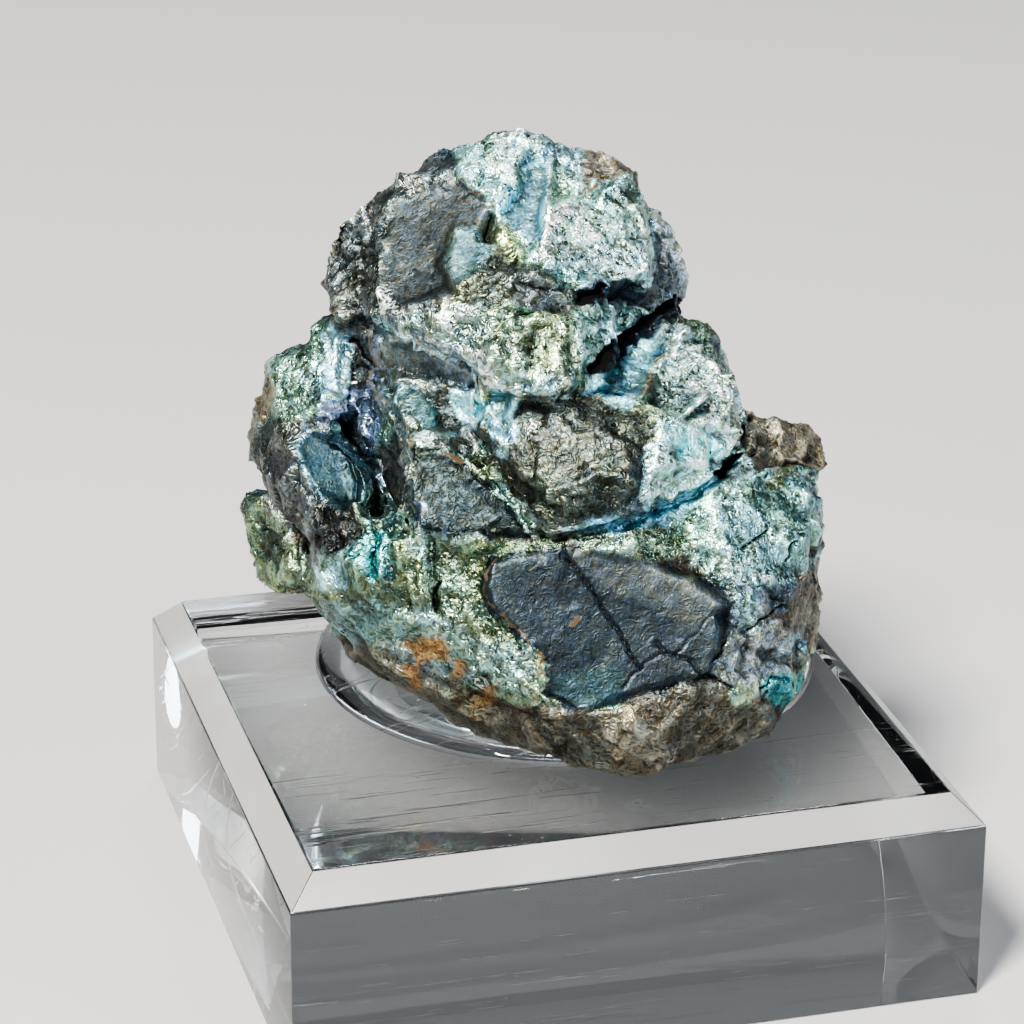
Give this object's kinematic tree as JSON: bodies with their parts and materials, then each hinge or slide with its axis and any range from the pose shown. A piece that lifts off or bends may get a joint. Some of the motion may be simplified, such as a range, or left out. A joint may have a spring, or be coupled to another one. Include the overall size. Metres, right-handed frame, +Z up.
{
  "type": "chalcocite specimen on a clear base",
  "caption": "Lumpy, cleft piece of iridescent metallic chalcocite resting on a round clear pad, on a square clear acrylic display block with chamfered top edges.",
  "frame": {"origin": "centre of the block's underside, where the whole specimen stands", "axes": "+Z up; X and Y along the block's sides, with the stone's show side towards -Y and a little towards -X"},
  "size_m": [0.0508, 0.0508, 0.0581],
  "materials": {
    "clear_acrylic": "polished clear cast acrylic with fine scratches and dust",
    "clear_pad": "polished clear acrylic",
    "chalcocite": "metallic dark grey with a blue, teal and green-gold tarnish, granular, with smooth shell-like scars and rust-brown stains"
  },
  "bodies": {
    "root": {"acrylic_base": "clear_acrylic", "clear_pad": "clear_pad", "chalcocite": "chalcocite"}
  },
  "joints": []
}
